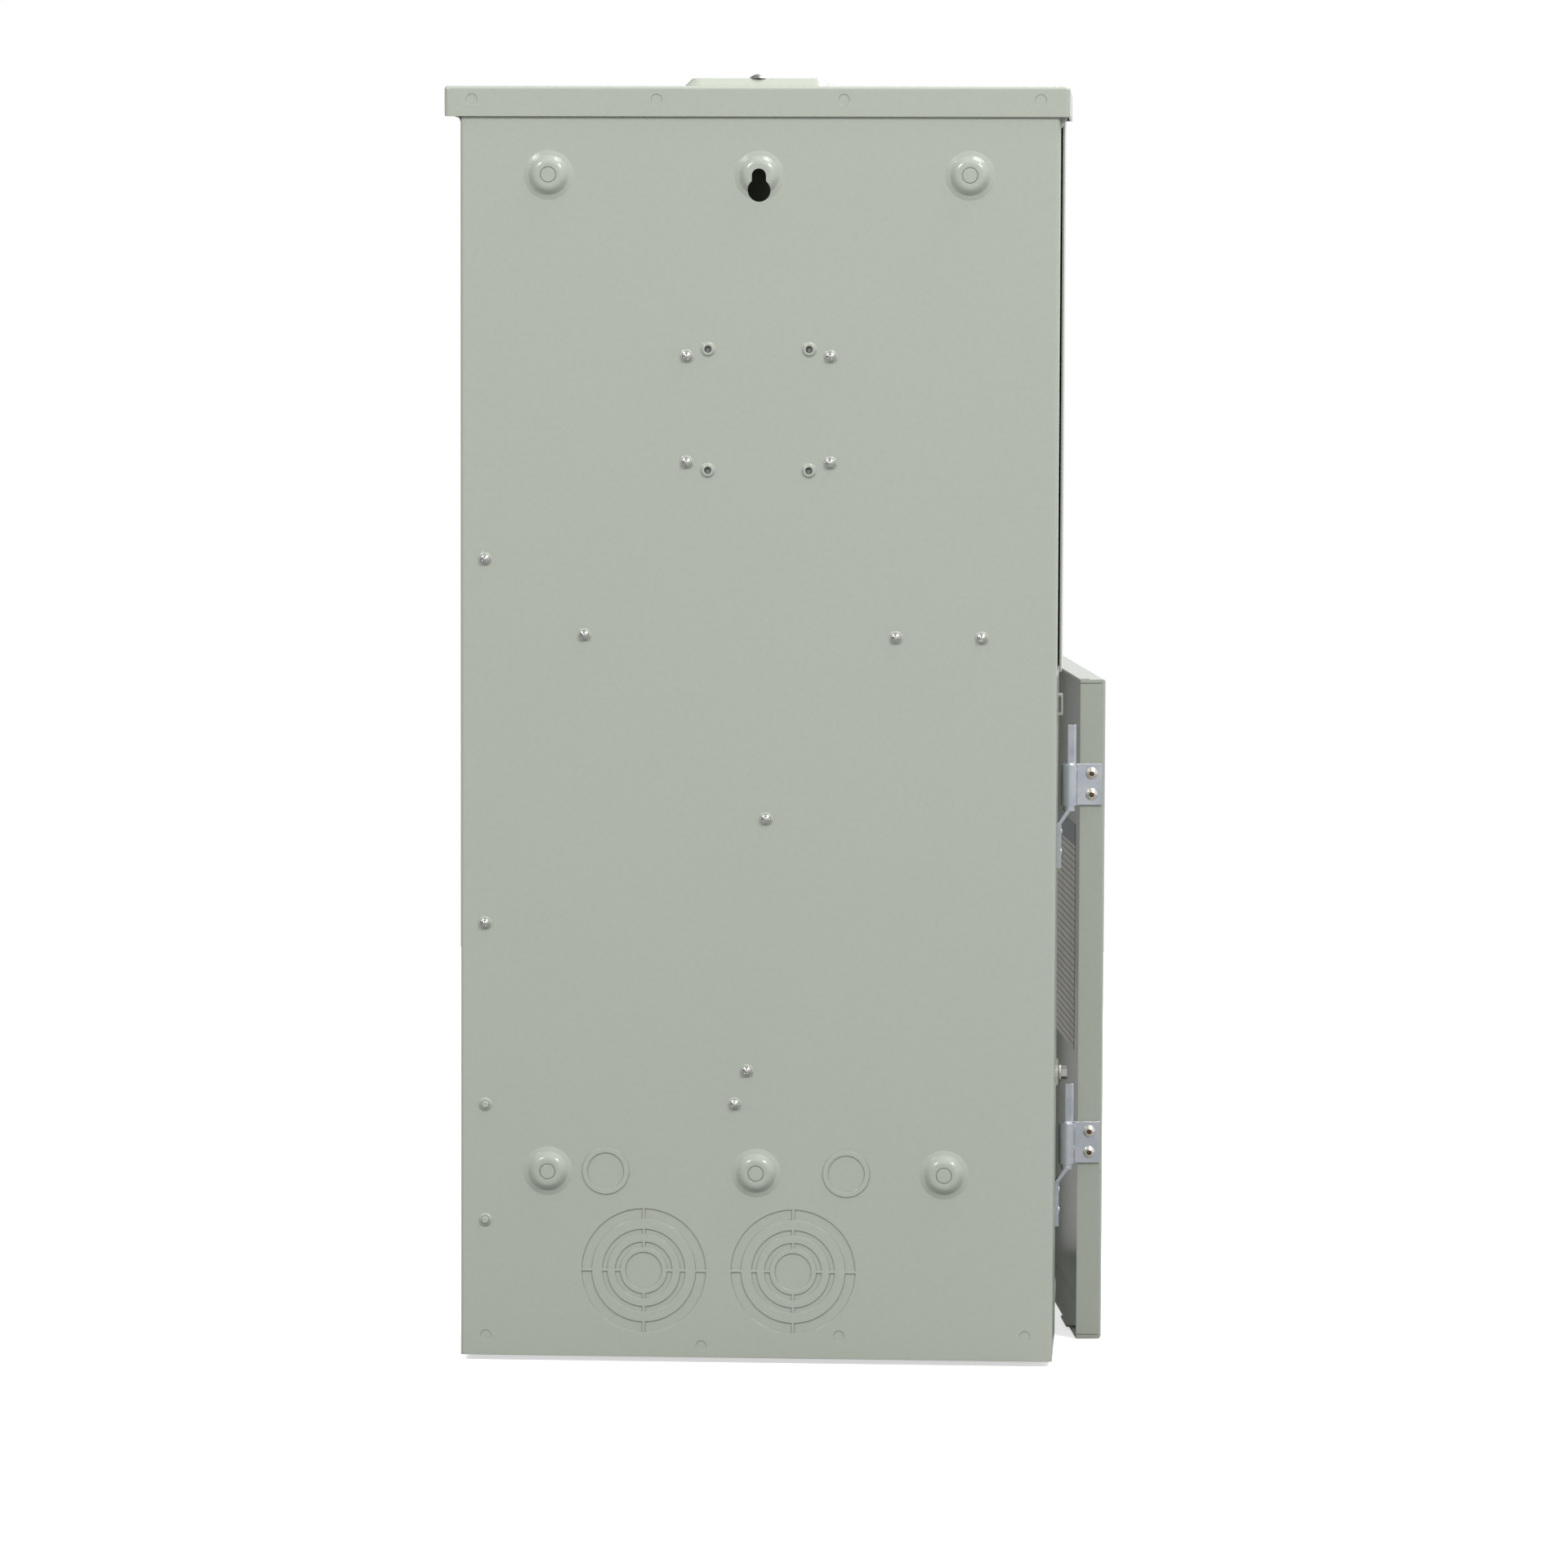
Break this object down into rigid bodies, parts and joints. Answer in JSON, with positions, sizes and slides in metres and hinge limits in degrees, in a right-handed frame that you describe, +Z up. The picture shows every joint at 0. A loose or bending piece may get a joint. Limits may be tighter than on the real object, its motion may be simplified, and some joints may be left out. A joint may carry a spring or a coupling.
{
  "type": "outdoor combination meter socket and load center",
  "caption": "Surface-mount steel meter socket and breaker box: rain hood, round meter opening, hinged lower door with latch, dead front, breakers, conduit knockouts and wall bosses.",
  "frame": {"origin": "centre of the box's bottom face, half way between its back plate and its front edge", "axes": "+Z up; +Y out of the back plate towards the wall, so -Y is the front; +X to the right for someone facing the front"},
  "size_m": [0.3961, 0.4715, 0.7751],
  "materials": {
    "painted_steel": "light grey-green baked enamel, fine orange peel",
    "zinc_plated_steel": "blue-clear zinc plate, satin",
    "bright_screw_steel": "bright zinc plate",
    "nickel_rivet": "warm bright rivet metal",
    "tinned_bus": "tin-plated bus, dull",
    "bare_aluminium": "extruded, satin",
    "phenolic_grey": "moulded insulating compound",
    "breaker_black": "moulded, fine texture",
    "toggle_black": "moulded, worn at the grip",
    "latch_black": "moulded, satin",
    "label_paper": "blank coated paper"
  },
  "bodies": {
    "enclosure": {"back_box": "painted_steel", "bottom_endwall": "painted_steel", "top_endwall": "painted_steel", "drip_hood": "painted_steel", "hub_closing_plate": "painted_steel", "meter_cover": "painted_steel", "compartment_barrier": "painted_steel", "side_channel": "painted_steel", "dead_front": "painted_steel", "latch_keeper": "painted_steel", "ground_bar_pins": "painted_steel", "seal_bracket": "zinc_plated_steel", "hinge_strap_upper": "zinc_plated_steel", "hinge_strap_lower": "zinc_plated_steel", "strap_rivets": "zinc_plated_steel", "interior_pan": "zinc_plated_steel", "panel_screws": "bright_screw_steel", "hub_plate_screws": "bright_screw_steel", "dead_front_screws": "bright_screw_steel", "bar_screws": "bright_screw_steel", "lug_screws": "bright_screw_steel", "line_jaw_right": "tinned_bus", "line_jaw_left": "tinned_bus", "load_jaw_right": "tinned_bus", "load_jaw_left": "tinned_bus", "load_strap_right": "tinned_bus", "load_strap_left": "tinned_bus", "bus_bar_left": "tinned_bus", "bus_bar_right": "tinned_bus", "line_lug_right": "bare_aluminium", "line_lug_left": "bare_aluminium", "neutral_lug": "bare_aluminium", "neutral_bar": "bare_aluminium", "ground_bar": "bare_aluminium", "socket_block_right": "phenolic_grey", "socket_block_left": "phenolic_grey", "bus_insulator": "phenolic_grey", "neutral_standoffs": "phenolic_grey", "main_breaker_case": "breaker_black", "filler_plates": "breaker_black", "branch_1_case": "breaker_black", "branch_2_case": "breaker_black", "branch_3_case": "breaker_black", "branch_4_case": "breaker_black", "branch_5_case": "breaker_black"},
    "door": {"door": "painted_steel", "door_label": "label_paper", "door_bottom_tab": "painted_steel", "hinge_leaf_upper": "zinc_plated_steel", "hinge_leaf_lower": "zinc_plated_steel", "leaf_rivets": "nickel_rivet"},
    "latch": {"latch_knob": "latch_black", "latch_cam": "zinc_plated_steel"},
    "hasp": {"seal_hasp": "zinc_plated_steel"},
    "main_toggle": {"main_breaker_handle": "toggle_black"},
    "branch_toggle_1": {"branch_1_handle": "toggle_black"},
    "branch_toggle_2": {"branch_2_handle": "toggle_black"},
    "branch_toggle_3": {"branch_3_handle": "toggle_black"},
    "branch_toggle_4": {"branch_4_handle": "toggle_black"},
    "branch_toggle_5": {"branch_5_handle": "toggle_black"}
  },
  "joints": [
    {"name": "door_hinge", "type": "hinge", "parent": "enclosure", "child": "door", "pos_m": [-0.1859, -0.0442, 0.22], "axis": [0, 0, 1], "range_deg": [-26, 84]},
    {"name": "latch_turn", "type": "hinge", "parent": "door", "child": "latch", "pos_m": [-0.16551, -0.37981, 0.202], "axis": [-0.9945, -0.1045, 0], "range_deg": [0, 90]},
    {"name": "hasp_swing", "type": "hinge", "parent": "enclosure", "child": "hasp", "pos_m": [0, -0.062, 0.446], "axis": [-1, 0, 0], "range_deg": [0, 110]},
    {"name": "main_switch", "type": "hinge", "parent": "enclosure", "child": "main_toggle", "pos_m": [0, -0.04, 0.343], "axis": [1, 0, 0], "range_deg": [0, 36]},
    {"name": "branch_switch_1", "type": "hinge", "parent": "enclosure", "child": "branch_toggle_1", "pos_m": [0.036, -0.042, 0.2493], "axis": [0, 0, 1], "range_deg": [0, 32]},
    {"name": "branch_switch_2", "type": "hinge", "parent": "enclosure", "child": "branch_toggle_2", "pos_m": [0.036, -0.042, 0.2112], "axis": [0, 0, 1], "range_deg": [0, 32]},
    {"name": "branch_switch_3", "type": "hinge", "parent": "enclosure", "child": "branch_toggle_3", "pos_m": [-0.036, -0.042, 0.262], "axis": [0, 0, -1], "range_deg": [0, 32]},
    {"name": "branch_switch_4", "type": "hinge", "parent": "enclosure", "child": "branch_toggle_4", "pos_m": [-0.036, -0.042, 0.2366], "axis": [0, 0, -1], "range_deg": [0, 32]},
    {"name": "branch_switch_5", "type": "hinge", "parent": "enclosure", "child": "branch_toggle_5", "pos_m": [-0.036, -0.042, 0.2112], "axis": [0, 0, -1], "range_deg": [0, 32]}
  ]
}
